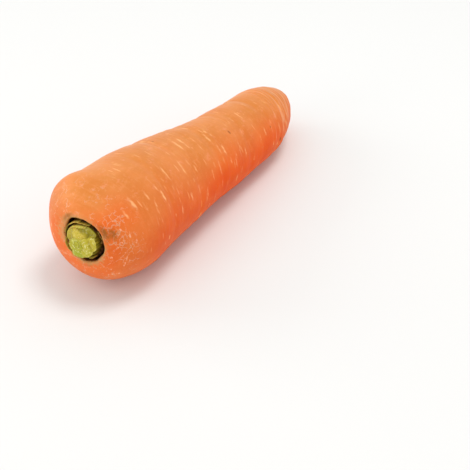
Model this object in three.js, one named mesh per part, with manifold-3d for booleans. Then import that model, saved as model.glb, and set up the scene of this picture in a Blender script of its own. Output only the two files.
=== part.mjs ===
// A fresh carrot, trimmed of its leaves and lying on its side: the taproot, the cut leaf stalks
// in its crown hollow, and the withered leaf bases round them. Millimetres, +Z up. The length
// runs along +X from the crown to the tip. Angles round the root run from +Y towards +Z.
import * as THREE from 'three';
import { mergeVertices } from 'three/addons/utils/BufferGeometryUtils.js';
import Module from 'manifold-3d';

const wasm = await Module();
wasm.setup();

// Taproot: radii at equal stations from crown to tip, and the round-over at each end
const ROOT_LENGTH = 180;
const STATION_RADII = [22.9, 26.4, 23.8, 20.9, 18.7, 17.1, 9.5];
const SHOULDER_LENGTH = 28;
const SHOULDER_POWER = 3.3;
const TIP_LENGTH = 28.5;
const TIP_POWER = 2.8;

// Its axis: height at the crown, fall towards the tip, and a slight sideways bow and S-bend
const CROWN_HEIGHT = 29.3;
const AXIS_FALL = 0.0811;
const SIDE_BOW = -2.1;
const SIDE_BEND = 3.15;

// Uneven growth: one full shoulder, two long swells, and shallow creases part way round
const FULL_SHOULDER = 3.8;
const FULL_SHOULDER_STATION = 14.8;
const FULL_SHOULDER_SPREAD = 9;
const FULL_SHOULDER_ANGLE = 48;
const SWELL_HEIGHT = 0.2;
const CREASE_COUNT = 15;
const CREASE_FIRST = 28;
const CREASE_PITCH = 9.1;
const CREASE_DEPTH = 0.3;
const CREASE_WIDTH = 2.1;

// Crown hollow: it stands above the axis and a little to one side
const HOLLOW_DEPTH = 8;
const HOLLOW_FLOOR_RADIUS = 9.7;
const RIM_RADIUS = 10.1;
const RIM_ROUND = 1.0;
const HOLLOW_LIFT = 3.0;
const HOLLOW_SIDE = -1.0;
const HOLLOW_SHIFT_END = 23;

// Tail: a small pit at the tip with the scar of the tail in it
const TAIL_PIT_DEPTH = 1.1;
const TAIL_PIT_RADIUS = 3.2;
const TAIL_SCAR_HEIGHT = 1.3;
const TAIL_SCAR_RADIUS = 1.3;

// Cut leaf stalks, round the growing point, each a golden angle on from the last
const GAP = 0.35;
const STUB_BASE = -(HOLLOW_DEPTH - GAP);
const STALK_COUNT = 9;
const GOLDEN_ANGLE = 137.5;
const FIRST_STALK_ANGLE = 319;
const FIRST_STALK_OFFSET = 3.2;
const STALK_OFFSET_STEP = 0.32;
const STALK_RADIUS = 2.8;
const STALK_FLATNESS = 0.82;
const CUT_HEIGHT = 2.3;
const STUB_CORE_RADIUS = 7.0;
const STUB_CORE_HEIGHT = 1.2;
const STUB_FOOT_TOP = -3.5;
const STUB_RADIUS = 8.4;
const SHEATH_RADII = [7.2, 8.3];
const SHEATH_ANGLE = 42;
const SHEATH_THICKNESS = 0.75;

// Withered leaf bases: a thin ragged collar of dried scales between the stalks and the hollow
const COLLAR_RADIUS = 9.05;
const COLLAR_THICKNESS = 0.6;
const SCALE_COUNT = 13;
const SCALE_LOW = -2.6;
const SCALE_RISE = 3.0;
const SCALE_LEAN = 0.35;

// Rest: the underside is flattened where it bears on the surface
const REST_DROP = 0.35;

const ROOT_SEGMENTS = 48;
const ROOT_RINGS = 62;
const CAP_RINGS = 12;
const STALK_SEGMENTS = 14;
const STUB_SEGMENTS = 32;
const SHEATH_SEGMENTS = 12;
const COLLAR_SEGMENTS = 65;

const GOLDEN_RATIO = 0.6180339887;
const DEGREE = Math.PI / 180;
const UP = new THREE.Vector3(0, 0, 1);

const stations = new THREE.SplineCurve(STATION_RADII.map((radius, i) => new THREE.Vector2(i, radius)));

function fraction(value) {
  return value - Math.floor(value);
}

function bell(distance, spread) {
  return Math.exp(-((distance / spread) ** 2));
}

// Rounds an end: 0 at the very end, 1 from the given length on
function endFactor(distance, length, power) {
  const reach = Math.max(0, 1 - distance / length);
  return (1 - reach ** power) ** (1 / power);
}

function rootRadius(s) {
  const shoulder = endFactor(s, SHOULDER_LENGTH, SHOULDER_POWER);
  const tip = endFactor(ROOT_LENGTH - s, TIP_LENGTH, TIP_POWER);
  return stations.getPoint(s / ROOT_LENGTH).y * shoulder * tip;
}

function axisPoint(s) {
  const t = s / ROOT_LENGTH;
  const side = SIDE_BOW * 4 * t * (1 - t) + SIDE_BEND * Math.sin(2 * Math.PI * t);
  return new THREE.Vector3(s, side, CROWN_HEIGHT - AXIS_FALL * s);
}

// The axis point, the direction towards the tip, and the two directions across it
function axisFrame(s) {
  const point = axisPoint(s);
  const along = axisPoint(s + 0.5).sub(axisPoint(s - 0.5)).normalize();
  const across = UP.clone().cross(along).normalize();
  const above = along.clone().cross(across);
  return { point, along, across, above };
}

function creases(s, angle) {
  let depth = 0;
  for (let k = 0; k < CREASE_COUNT; k += 1) {
    const chance = fraction(k * GOLDEN_RATIO);
    const station = CREASE_FIRST + CREASE_PITCH * (k + chance - 0.5);
    const turn = Math.cos(angle - k * GOLDEN_ANGLE * DEGREE);
    const reach = THREE.MathUtils.smoothstep(turn, 0.1, 0.9);
    const bowed = station + 1.5 * (1 - turn);
    depth += CREASE_DEPTH * (0.5 + chance) * reach * bell(s - bowed, CREASE_WIDTH);
  }
  return depth;
}

// How far the skin stands out from the plain round shape
function unevenness(s, angle) {
  const facing = Math.max(0, Math.cos(angle - FULL_SHOULDER_ANGLE * DEGREE));
  const shoulder = FULL_SHOULDER * facing ** 4 * bell(s - FULL_SHOULDER_STATION, FULL_SHOULDER_SPREAD);
  const longSwell = Math.sin(2 * Math.PI * s / 61 + 2 * angle);
  const shortSwell = Math.sin(2 * Math.PI * s / 37 - angle + 1.1);
  return shoulder + SWELL_HEIGHT * (longSwell + 0.8 * shortSwell) - creases(s, angle);
}

// Skin details fade out towards the two ends, and the crown hollow is shifted
function skinPoint(s, radius, angle) {
  const { point, across, above } = axisFrame(s);
  const fade = THREE.MathUtils.smoothstep(radius, RIM_RADIUS + RIM_ROUND, 18);
  const full = radius + fade * unevenness(s, angle);
  const atCrown = s < ROOT_LENGTH / 2 ? 1 : 0;
  const shift = atCrown * (1 - THREE.MathUtils.smoothstep(radius, RIM_RADIUS, HOLLOW_SHIFT_END));
  point.addScaledVector(across, full * Math.cos(angle) + shift * HOLLOW_SIDE);
  return point.addScaledVector(above, full * Math.sin(angle) + shift * HOLLOW_LIFT);
}

// The station where the rounded shoulder reaches a radius
function shoulderStation(radius) {
  let near = 0;
  let far = SHOULDER_LENGTH;
  for (let i = 0; i < 30; i += 1) {
    const middle = (near + far) / 2;
    if (rootRadius(middle) < radius) near = middle;
    else far = middle;
  }
  return near;
}

// Half section of the root from the hollow's floor, over the rim and the skin, to the tail
function rootSection() {
  const section = [new THREE.Vector2(0, HOLLOW_DEPTH)];
  section.push(new THREE.Vector2(0.6 * HOLLOW_FLOOR_RADIUS, HOLLOW_DEPTH));
  section.push(new THREE.Vector2(HOLLOW_FLOOR_RADIUS, HOLLOW_DEPTH - 0.2));
  const start = shoulderStation(RIM_RADIUS + RIM_ROUND);
  section.push(new THREE.Vector2(HOLLOW_FLOOR_RADIUS + 0.15, HOLLOW_DEPTH / 2));
  for (let i = 0; i <= 4; i += 1) {
    const turn = (i / 4) * 0.5 * Math.PI;
    const radius = RIM_RADIUS + RIM_ROUND * (1 - Math.cos(turn));
    section.push(new THREE.Vector2(radius, start + RIM_ROUND * (1 - Math.sin(turn))));
  }
  const end = ROOT_LENGTH - 0.15;
  for (let i = 1; i <= CAP_RINGS; i += 1) {
    const s = start + (SHOULDER_LENGTH - start) * (i / CAP_RINGS) ** 1.8;
    section.push(new THREE.Vector2(rootRadius(s), s));
  }
  const tipStart = ROOT_LENGTH - TIP_LENGTH / 2;
  const middleRings = ROOT_RINGS - 2 * CAP_RINGS;
  for (let i = 1; i <= middleRings; i += 1) {
    const s = SHOULDER_LENGTH + (tipStart - SHOULDER_LENGTH) * (i / middleRings);
    section.push(new THREE.Vector2(rootRadius(s), s));
  }
  for (let i = 1; i <= CAP_RINGS; i += 1) {
    const s = end - (end - tipStart) * (1 - i / CAP_RINGS) ** 1.8;
    section.push(new THREE.Vector2(rootRadius(s), s - tailPit(rootRadius(s))));
  }
  section.push(new THREE.Vector2(0, ROOT_LENGTH - tailPit(0)));
  return section;
}

function tailPit(radius) {
  const pit = TAIL_PIT_DEPTH * bell(radius, TAIL_PIT_RADIUS);
  return pit - TAIL_SCAR_HEIGHT * bell(radius, TAIL_SCAR_RADIUS);
}

// Keeps positions only and joins shared vertices, so that the geometry is one closed surface
function joined(geometry) {
  const bare = geometry.clone();
  bare.deleteAttribute('normal');
  bare.deleteAttribute('uv');
  return mergeVertices(bare, 1e-4);
}

function toSolid(geometry) {
  const closed = joined(geometry);
  const vertProperties = new Float32Array(closed.attributes.position.array);
  const triVerts = new Uint32Array(closed.index.array);
  return new wasm.Manifold(new wasm.Mesh({ numProp: 3, vertProperties, triVerts }));
}

function toGeometry(solid) {
  const { vertProperties, triVerts } = solid.getMesh();
  const geometry = new THREE.BufferGeometry();
  geometry.setAttribute('position', new THREE.BufferAttribute(vertProperties, 3));
  geometry.setIndex(new THREE.BufferAttribute(triVerts, 1));
  geometry.computeVertexNormals();
  return geometry;
}

function bend(geometry, place) {
  const positions = geometry.attributes.position;
  for (let i = 0; i < positions.count; i += 1) {
    const moved = place(positions.getX(i), positions.getY(i), positions.getZ(i));
    positions.setXYZ(i, moved.x, moved.y, moved.z);
  }
  return geometry;
}

function makeTaproot() {
  const turned = joined(new THREE.LatheGeometry(rootSection(), ROOT_SEGMENTS));
  bend(turned, (x, y, z) => skinPoint(y, Math.hypot(x, z), Math.atan2(x, z)));
  const below = new THREE.BoxGeometry(2 * ROOT_LENGTH, ROOT_LENGTH, 20);
  below.translate(ROOT_LENGTH / 2, 0, REST_DROP - 10);
  const solid = toSolid(turned).subtract(toSolid(below));
  return toGeometry(solid);
}

// Turns a half section, listed as radius and height, about +Z
function turn(section, segments) {
  const outline = section.map(([radius, height]) => new THREE.Vector2(radius, height));
  return new THREE.LatheGeometry(outline, segments).rotateX(Math.PI / 2);
}

// One cut stalk: a flattened round post with a slightly domed, softly edged cut
function makeStalk(index) {
  const height = CUT_HEIGHT - 0.12 * index * fraction(index * GOLDEN_RATIO);
  const radius = STALK_RADIUS * (1 - 0.3 * fraction(index * 2 * GOLDEN_RATIO));
  const side = [[0, STUB_BASE], [radius, STUB_BASE], [radius, height - 0.5]];
  const stalk = turn([...side, [0.88 * radius, height - 0.12], [0, height]], STALK_SEGMENTS);
  stalk.scale(1, STALK_FLATNESS, 1);
  const offset = Math.min(FIRST_STALK_OFFSET + STALK_OFFSET_STEP * index, STUB_RADIUS - STALK_FLATNESS * radius);
  stalk.translate(0, offset, 0);
  stalk.rotateZ(-(FIRST_STALK_ANGLE - index * GOLDEN_ANGLE) * DEGREE);
  return stalk;
}

// A thin dry sheath that stands part way round the stalks
function makeSheath(radius, halfTurn, height) {
  const middle = (90 - SHEATH_ANGLE) * DEGREE;
  const shape = new THREE.Shape();
  shape.absarc(0, 0, radius, middle - halfTurn, middle + halfTurn, false);
  shape.absarc(0, 0, radius - SHEATH_THICKNESS, middle + halfTurn, middle - halfTurn, true);
  shape.closePath();
  const options = { depth: height - STUB_BASE, bevelEnabled: false, curveSegments: SHEATH_SEGMENTS };
  return new THREE.ExtrudeGeometry(shape, options).translate(0, 0, STUB_BASE);
}

function makeStalkStub() {
  const foot = [[0, STUB_BASE], [STUB_RADIUS - 0.1, STUB_BASE], [STUB_RADIUS - 0.1, STUB_FOOT_TOP]];
  const core = [[STUB_CORE_RADIUS, STUB_FOOT_TOP], [STUB_CORE_RADIUS, STUB_CORE_HEIGHT], [0, STUB_CORE_HEIGHT]];
  let solid = toSolid(turn([...foot, ...core], STUB_SEGMENTS));
  for (let index = 0; index < STALK_COUNT; index += 1) solid = solid.add(toSolid(makeStalk(index)));
  solid = solid.add(toSolid(makeSheath(SHEATH_RADII[0], 0.55, CUT_HEIGHT - 0.2)));
  solid = solid.add(toSolid(makeSheath(SHEATH_RADII[1], 0.75, CUT_HEIGHT - 1.1)));
  return toGeometry(solid);
}

function scaleTop(angle) {
  const place = fraction(angle / (2 * Math.PI)) * SCALE_COUNT;
  const scale = Math.floor(place);
  const arch = Math.sin(Math.PI * (place - scale)) ** 0.6;
  return SCALE_LOW + SCALE_RISE * (0.35 + 0.65 * fraction(scale * GOLDEN_RATIO + 0.3)) * arch;
}

function makeCollar() {
  const inside = COLLAR_RADIUS - COLLAR_THICKNESS / 2;
  const outside = COLLAR_RADIUS + COLLAR_THICKNESS / 2;
  const section = [[inside, STUB_BASE], [outside, STUB_BASE], [outside, 0], [inside, 0], [inside, STUB_BASE]];
  return bend(joined(turn(section, COLLAR_SEGMENTS)), (x, y, z) => {
    if (z < -GAP) return new THREE.Vector3(x, y, z);
    const lean = 1 + SCALE_LEAN / COLLAR_RADIUS;
    return new THREE.Vector3(lean * x, lean * y, scaleTop(Math.atan2(y, x)));
  });
}

function makeMesh(name, geometry, color, roughness) {
  const mesh = new THREE.Mesh(geometry, new THREE.MeshStandardMaterial({ color, roughness, metalness: 0 }));
  mesh.name = name;
  return mesh;
}

// The crown's own frame: +Z out of the crown, +Y across, +X up, at the middle of the hollow
function makeCrown() {
  const { point, along, across, above } = axisFrame(0);
  const crown = new THREE.Group();
  crown.position.copy(point).addScaledVector(across, HOLLOW_SIDE).addScaledVector(above, HOLLOW_LIFT);
  crown.quaternion.setFromRotationMatrix(new THREE.Matrix4().makeBasis(above, across, along.negate()));
  crown.add(makeMesh('leaf_stalk_stub', makeStalkStub(), '#a9b043', 0.5));
  crown.add(makeMesh('withered_leaf_bases', makeCollar(), '#3a2a18', 0.9));
  return crown;
}

const carrot = new THREE.Group();
carrot.add(makeMesh('taproot', makeTaproot(), '#ec8748', 0.45));
carrot.add(makeCrown());

// The origin is at the middle of the footprint, on the surface that the carrot lies on
carrot.updateMatrixWorld(true);
const bounds = new THREE.Box3().setFromObject(carrot, true);
const middle = bounds.getCenter(new THREE.Vector3());
carrot.position.set(-middle.x, -middle.y, -bounds.min.z);

export default carrot;
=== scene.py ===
import math
import random
from collections import namedtuple
from functools import lru_cache

import bmesh
import bpy
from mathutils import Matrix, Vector, noise


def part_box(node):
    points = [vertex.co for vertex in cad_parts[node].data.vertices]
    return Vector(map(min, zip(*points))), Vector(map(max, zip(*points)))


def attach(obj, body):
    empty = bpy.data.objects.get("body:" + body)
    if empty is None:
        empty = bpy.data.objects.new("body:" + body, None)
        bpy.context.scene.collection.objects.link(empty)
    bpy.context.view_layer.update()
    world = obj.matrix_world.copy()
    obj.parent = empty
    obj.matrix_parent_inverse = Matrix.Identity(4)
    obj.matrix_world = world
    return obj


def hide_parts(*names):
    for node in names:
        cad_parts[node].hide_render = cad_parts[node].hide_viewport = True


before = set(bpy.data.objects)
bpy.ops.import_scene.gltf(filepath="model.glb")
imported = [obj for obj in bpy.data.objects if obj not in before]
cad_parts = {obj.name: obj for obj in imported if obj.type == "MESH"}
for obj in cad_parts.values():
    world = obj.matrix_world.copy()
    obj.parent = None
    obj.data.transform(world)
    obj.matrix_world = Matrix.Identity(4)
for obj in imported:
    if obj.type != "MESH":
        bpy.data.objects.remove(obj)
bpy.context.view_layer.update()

# A fresh carrot, trimmed of its leaves, lying on its side on a plain pale floor. Shapes are worked
# out in millimetres, with stations running from the crown to the tip and angles round the root
# from +Y towards +Z, and each finished mesh is set in the frame in metres.
MM = 0.001

# Taproot: radii at equal stations from crown to tip, and the round-over at each end
ROOT_LENGTH = 180.0
STATION_RADII = (22.9, 26.4, 23.8, 20.9, 18.7, 17.1, 9.5)
SHOULDER_LENGTH = 28.0
SHOULDER_POWER = 3.3
TIP_LENGTH = 28.5
TIP_POWER = 2.8

# Its axis
CROWN_HEIGHT = 29.3
AXIS_FALL = 0.0811
SIDE_BOW = -2.1
SIDE_BEND = 3.15

# Uneven growth
FULL_SHOULDER = 3.8
FULL_SHOULDER_STATION = 14.8
FULL_SHOULDER_SPREAD = 9.0
FULL_SHOULDER_ANGLE = math.radians(48.0)
SWELL_HEIGHT = 0.2
CREASE_COUNT = 15
CREASE_FIRST = 28.0
CREASE_PITCH = 9.1
CREASE_DEPTH = 0.3
CREASE_WIDTH = 2.1
CREASE_REACH = 12.0
LONG_SWELL = 61.0
SHORT_SWELL = 37.0
GOLDEN_RATIO = 0.6180339887
GOLDEN_ANGLE = math.radians(137.5)

# Crown hollow
HOLLOW_DEPTH = 8.0
HOLLOW_FLOOR_RADIUS = 9.7
RIM_RADIUS = 10.1
RIM_ROUND = 1.0
HOLLOW_LIFT = 3.0
HOLLOW_SIDE = -1.0
HOLLOW_SHIFT_END = 23.0

# Tail
TAIL_PIT_DEPTH = 1.1
TAIL_PIT_RADIUS = 3.2
TAIL_SCAR_HEIGHT = 1.3
TAIL_SCAR_RADIUS = 1.3

# It rests on a spot that is flattened by this much
REST_DROP = 0.35

# Fineness of the skin's mesh
SKIN_STEPS = 144
FLOOR_RINGS = 10
WALL_RINGS = 16
LIP_RINGS = 10
SHOULDER_RINGS = 112
BODY_RINGS = 396
TIP_RINGS = 90
# How strongly its rings crowd towards the lip and towards the tail
LIP_CROWDING = 1.6
TAIL_CROWDING = 1.7

# The hollow isn't quite round: how far its lip is moved outwards, every 30 degrees
LIP_REACH = (-0.7, 0.1, 1.35, 0.65, 0.35, 0.35, 0.25, -0.1, -0.05, 0.05, -0.45, -1.7)
LIP_REACH_END = 17.5
# Its edge is ragged, coarsely and finely: how far it strays, how often, and pattern offset
LIP_RAGGED = ((0.32, 2.4, 4.0), (0.2, 7.0, 8.0))
LIP_SPREAD = 1.5
LIP_SWELL = 0.35
LIP_ROUGHNESS = 0.24


def smoothstep(value, low, high):
    t = min(max((value - low) / (high - low), 0.0), 1.0)
    return t * t * (3.0 - 2.0 * t)


def bell(distance, spread):
    return math.exp(-((distance / spread) ** 2))


def round_values(values, angle):
    """Smooth change between values set at equal angles all the way round."""
    place = angle / (2.0 * math.pi) % 1.0 * len(values)
    index = int(place)
    w = smoothstep(place - index, 0.0, 1.0)
    return values[index % len(values)] * (1.0 - w) + values[(index + 1) % len(values)] * w


def station_curve(values, t):
    """Smooth curve through equally spaced values."""
    place = t * (len(values) - 1)
    index = min(int(place), len(values) - 2)
    w = place - index
    nearest = (min(max(index + k, 0), len(values) - 1) for k in (-1, 0, 1, 2))
    before, start, end, after = (values[i] for i in nearest)
    rise = 0.5 * (end - before)
    fall = 0.5 * (after - start)
    cube = (2 * start - 2 * end + rise + fall) * w**3
    return cube + (3 * end - 3 * start - 2 * rise - fall) * w**2 + rise * w + start


def end_factor(distance, length, power):
    """Rounds an end: 0 at the very end and 1 from the given length on."""
    reach = max(0.0, 1.0 - distance / length)
    return (1.0 - min(reach, 1.0) ** power) ** (1.0 / power)


def root_radius(s):
    shoulder = end_factor(s, SHOULDER_LENGTH, SHOULDER_POWER)
    tip = end_factor(ROOT_LENGTH - s, TIP_LENGTH, TIP_POWER)
    return station_curve(STATION_RADII, s / ROOT_LENGTH) * shoulder * tip


def axis_point(s):
    t = s / ROOT_LENGTH
    side = SIDE_BOW * 4.0 * t * (1.0 - t) + SIDE_BEND * math.sin(2.0 * math.pi * t)
    return Vector((s, side, CROWN_HEIGHT - AXIS_FALL * s))


@lru_cache(maxsize=None)
def axis_frame(s):
    """The axis point, the direction towards the tip, and the two directions across it."""
    along = (axis_point(s + 0.5) - axis_point(s - 0.5)).normalized()
    across = Vector((0.0, 0.0, 1.0)).cross(along).normalized()
    return axis_point(s), along, across, along.cross(across)


def creases(s, angle):
    depth = 0.0
    for k in range(CREASE_COUNT):
        chance = k * GOLDEN_RATIO % 1.0
        station = CREASE_FIRST + CREASE_PITCH * (k + chance - 0.5)
        if abs(s - station) > CREASE_REACH:
            continue
        turn = math.cos(angle - k * GOLDEN_ANGLE)
        reach = smoothstep(turn, 0.1, 0.9)
        away = s - station - 1.5 * (1.0 - turn)
        depth += CREASE_DEPTH * (0.5 + chance) * reach * bell(away, CREASE_WIDTH)
    return depth


def unevenness(s, angle):
    """How far the skin stands out from the plain round shape."""
    facing = max(0.0, math.cos(angle - FULL_SHOULDER_ANGLE))
    shoulder = FULL_SHOULDER * facing**4 * bell(s - FULL_SHOULDER_STATION, FULL_SHOULDER_SPREAD)
    long_swell = math.sin(2.0 * math.pi * s / LONG_SWELL + 2.0 * angle)
    short_swell = math.sin(2.0 * math.pi * s / SHORT_SWELL - angle + 1.1)
    return shoulder + SWELL_HEIGHT * (long_swell + 0.8 * short_swell) - creases(s, angle)


def skin_point(s, radius, angle):
    point, _, across, above = axis_frame(s)
    full = radius + smoothstep(radius, RIM_RADIUS + RIM_ROUND, 18.0) * unevenness(s, angle)
    shift = 1.0 - smoothstep(radius, RIM_RADIUS, HOLLOW_SHIFT_END) if s < ROOT_LENGTH / 2 else 0.0
    sideways = full * math.cos(angle) + shift * HOLLOW_SIDE
    return point + sideways * across + (full * math.sin(angle) + shift * HOLLOW_LIFT) * above


def tail_pit(radius):
    pit = TAIL_PIT_DEPTH * bell(radius, TAIL_PIT_RADIUS)
    return pit - TAIL_SCAR_HEIGHT * bell(radius, TAIL_SCAR_RADIUS)


def shoulder_station(radius):
    """The station where the rounded shoulder reaches a radius."""
    near, far = 0.0, SHOULDER_LENGTH
    for _ in range(40):
        middle = 0.5 * (near + far)
        near, far = (middle, far) if root_radius(middle) < radius else (near, middle)
    return near


LIP_STATION = shoulder_station(RIM_RADIUS + RIM_ROUND)


def root_section():
    """Half section of the root, as station and radius, from the hollow's floor to the tail."""
    section = [(HOLLOW_DEPTH, HOLLOW_FLOOR_RADIUS * i / FLOOR_RINGS) for i in range(FLOOR_RINGS)]
    wall_top = LIP_STATION + RIM_ROUND
    for i in range(WALL_RINGS):
        t = i / WALL_RINGS
        station = HOLLOW_DEPTH + (wall_top - HOLLOW_DEPTH) * t
        section.append((station, HOLLOW_FLOOR_RADIUS + (RIM_RADIUS - HOLLOW_FLOOR_RADIUS) * t))
    for i in range(LIP_RINGS + 1):
        turn = 0.5 * math.pi * i / LIP_RINGS
        radius = RIM_RADIUS + RIM_ROUND * (1.0 - math.cos(turn))
        section.append((LIP_STATION + RIM_ROUND * (1.0 - math.sin(turn)), radius))
    stations = [LIP_STATION + (SHOULDER_LENGTH - LIP_STATION) * (i / SHOULDER_RINGS) ** LIP_CROWDING
                for i in range(1, SHOULDER_RINGS + 1)]
    tip_start = ROOT_LENGTH - TIP_LENGTH
    body = tip_start - SHOULDER_LENGTH
    stations += [SHOULDER_LENGTH + body * i / BODY_RINGS for i in range(1, BODY_RINGS + 1)]
    section += [(s, root_radius(s)) for s in stations]
    for i in range(1, TIP_RINGS):
        s = ROOT_LENGTH - TIP_LENGTH * (1.0 - i / TIP_RINGS) ** TAIL_CROWDING
        section.append((s - tail_pit(root_radius(s)), root_radius(s)))
    return section + [(ROOT_LENGTH - tail_pit(0.0), 0.0)]


# Lenticels, the short pale corky slits across the skin: the plainest ones, each with its station,
# angle in degrees, length and strength
PLAIN_LENTICELS = (
    (72, 101, 5.5, 1.0), (68, 105, 7.5, 1.0), (72, 112, 4.0, 0.7), (58, 132, 7.5, 1.0),
    (44, 116, 4.0, 0.4), (45, 128, 7.5, 0.9), (34.5, 144, 5.0, 1.0), (33, 134, 3.5, 0.6),
    (27, 146, 3.5, 0.6), (25, 134, 4.5, 0.9), (16.5, 132, 6.5, 0.9), (11, 135, 5.5, 0.6),
    (39, 140, 4.0, 0.4), (55.5, 163, 3.0, 0.5), (63.5, 130, 2.5, 0.5), (67, 123, 1.5, 0.5),
    (86.5, 115, 6.5, 0.8), (89, 106, 2.5, 0.9), (91, 140, 5.5, 0.9), (87.5, 152, 3.5, 0.6),
    (83.5, 158, 7.5, 0.6), (77, 160, 6.0, 0.5), (68, 136, 4.0, 0.5), (98, 155, 3.5, 0.5),
    (95, 165, 5.5, 0.4), (117, 107, 5.5, 0.8), (110, 131, 3.0, 0.5), (107, 111, 2.0, 0.5),
    (90, 114, 1.5, 0.9), (73.5, 118, 1.5, 0.7), (80, 150, 2.5, 0.6), (88, 136, 5.0, 0.7),
    (139, 165, 6.0, 0.6), (143.5, 168, 7.0, 0.8), (147.5, 172, 6.0, 0.7), (151, 180, 4.5, 0.6),
    (137, 190, 2.0, 0.9), (121, 157, 4.0, 0.4),
)
# The fainter ones, drawn at random: how many, first and last station, and least and greatest length
LENTICEL_SEED = 7
FAINT_LENTICELS = 460
FAINT_STATIONS = (12.0, 158.0)
FAINT_LENGTHS = (1.4, 5.5)
# Between these angles, where the plainest ones are, they are held back
PLAIN_ANGLES = (1.4, 3.2)
LENTICEL_HALF_WIDTH = 0.46
LENTICEL_BOW = 0.25
LENTICEL_WAVER = 0.12
# They are looked up by station, in steps of this length
BUCKET = 4.0


def lenticels():
    """The plain lenticels, and fainter ones drawn at random all round the root."""
    draw = random.Random(LENTICEL_SEED)
    marks = [(s, math.radians(a), length, strength) for s, a, length, strength in PLAIN_LENTICELS]
    for _ in range(FAINT_LENTICELS):
        s = draw.uniform(*FAINT_STATIONS)
        angle = draw.uniform(0.0, 2.0 * math.pi)
        among_plain = PLAIN_ANGLES[0] < angle < PLAIN_ANGLES[1]
        strength = draw.uniform(0.15, 0.7) if among_plain else draw.uniform(0.2, 1.0) ** 1.5
        strength *= smoothstep(s, 8.0, 30.0)
        marks.append((s, angle, draw.uniform(*FAINT_LENGTHS), strength))
    buckets = {}
    for mark in marks:
        for k in (-1, 0, 1):
            buckets.setdefault(int(mark[0] / BUCKET) + k, []).append(mark)
    return buckets


LENTICELS = lenticels()


def lenticel_at(s, radius, angle):
    """How strongly a lenticel shows here, and how near its middle line the place is."""
    shown, middle = 0.0, 0.0
    for station, at, length, strength in LENTICELS.get(int(s / BUCKET), ()):
        turn = (angle - at + math.pi) % (2.0 * math.pi) - math.pi
        along = radius * turn / (0.5 * length)
        if abs(along) > 1.6:
            continue
        waver = LENTICEL_WAVER * math.sin(7.0 * along + station)
        bowed = station + LENTICEL_BOW * along * along + waver
        width = LENTICEL_HALF_WIDTH * (0.75 + 0.5 * strength)
        broken = 0.75 + 0.5 * noise.noise(Vector((4.0 * along, station, length)))
        near = bell(s - bowed, width) * strength * broken * math.exp(-(along**4))
        core = bell(s - bowed, 0.4 * width) * strength * math.exp(-((1.3 * along) ** 4))
        shown, middle = max(shown, near), max(middle, core)
    return shown, middle


# Small dark specks: station, angle in degrees and radius
SPECKS = (
    (101.5, 123, 0.75), (61.0, 82, 0.5), (131.0, 152, 0.45), (47.5, 236, 0.6), (88.0, 301, 0.7),
    (120.4, 20, 0.55), (29.5, 340, 0.6), (149.0, 262, 0.5), (72.0, 200, 0.4), (139.5, 186, 0.7),
    (142.5, 124, 0.35),
)


def speck_at(s, radius, angle):
    shown = 0.0
    for station, at, size in SPECKS:
        if abs(s - station) < 3.0 * size:
            turn = (angle - math.radians(at) + math.pi) % (2.0 * math.pi) - math.pi
            shown = max(shown, bell(math.hypot(s - station, 0.6 * radius * turn), size))
    return shown


# Scuffs near the crown, pale lines that are partly lifted thin outer skin and partly painted
# highlight
# on its fine ridges: station and angle in degrees at each end, and half width
SCUFF_GLINTS = (
    (3.7, 149, 4.9, 153, 0.3), (5.0, 152, 6.2, 147, 0.3), (8.7, 154, 8.3, 161, 0.38),
    (3.4, 172, 6.2, 161, 0.26), (1.1, 202, 2.1, 194, 0.3), (6.2, 185, 5.8, 203, 0.36),
    (3.7, 236, 6.2, 220, 0.34), (3.2, 220, 2.6, 206, 0.26), (5.0, 331, 2.0, 316, 0.4),
    (6.6, 26, 4.2, 10, 0.5), (4.2, 10, 3.0, 342, 0.42), (14.0, 33, 14.2, 39, 0.5),
    (12.6, 56, 13.1, 62, 0.4), (9.4, 172, 10.6, 168, 0.3), (7.4, 192, 8.6, 186, 0.26),
    (2.2, 300, 2.9, 288, 0.3),
)


def scuff_glint_lines():
    """Each scuffed, glinting line's start, direction, length and half width, on the plain skin."""
    lines = []
    for s, angle, end_s, end_angle, width in SCUFF_GLINTS:
        start = skin_point(s, root_radius(s), math.radians(angle))
        reach = skin_point(end_s, root_radius(end_s), math.radians(end_angle)) - start
        lines.append((start, reach.normalized(), reach.length, width))
    return lines


SCUFF_GLINT_LINES = scuff_glint_lines()


def scuff_glint_at(place):
    """How strongly a scuffed, glinting line shows at a place on the plain skin."""
    shown = 0.0
    for start, along, length, width in SCUFF_GLINT_LINES:
        offset = place - start
        t = min(max(offset.dot(along), 0.0), length)
        bend = 0.35 * math.sin(3.0 * t / length + length)
        away = (offset - along * t).length
        if away < 3.0 * width + 0.4:
            fray = smoothstep(noise.noise(place / 0.9) + 0.5 * noise.noise(place / 0.4), -0.35, 0.6)
            shown = max(shown, fray * bell(abs(away - abs(bend) * 0.3), width))
    return shown


# Wrinkles near the tip, where the root has dried a little
WRINKLE_START = 128.0
WRINKLE_FULL = 144.0
WRINKLE_PITCH = 1.5
WRINKLE_SLANT = 5.0


def tip_wrinkle(s, radius, angle, place):
    """Height of the slanted wrinkles at a place: about -1 to 1."""
    slant = s + WRINKLE_SLANT * math.sin(angle - 2.6)
    toward_tip = smoothstep(s, WRINKLE_START, WRINKLE_FULL) * smoothstep(radius, 3.0, 7.0)
    patchy = smoothstep(noise.noise(place / 8.0) + 0.4 * math.cos(angle - 2.8), -0.3, 0.4)
    along = slant / WRINKLE_PITCH
    fold = noise.noise(Vector((along, 1.1 * math.cos(angle), 1.1 * math.sin(angle))))
    return 2.2 * toward_tip * patchy * fold


# Small relief of the skin
LENTICEL_RISE = 0.07
LENTICEL_SLIT = 0.10
SPECK_DEPTH = 0.12
WRINKLE_HEIGHT = 0.26
WALL_ROUGHNESS = 0.22
WALL_GRAIN = 1.2
# Fine and broad growth rings: height, length along the root, width round it, and pattern offset
GROWTH_RINGS = ((0.05, 1.3, 8.0, 0.0), (0.06, 2.6, 13.0, 5.0))
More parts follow.
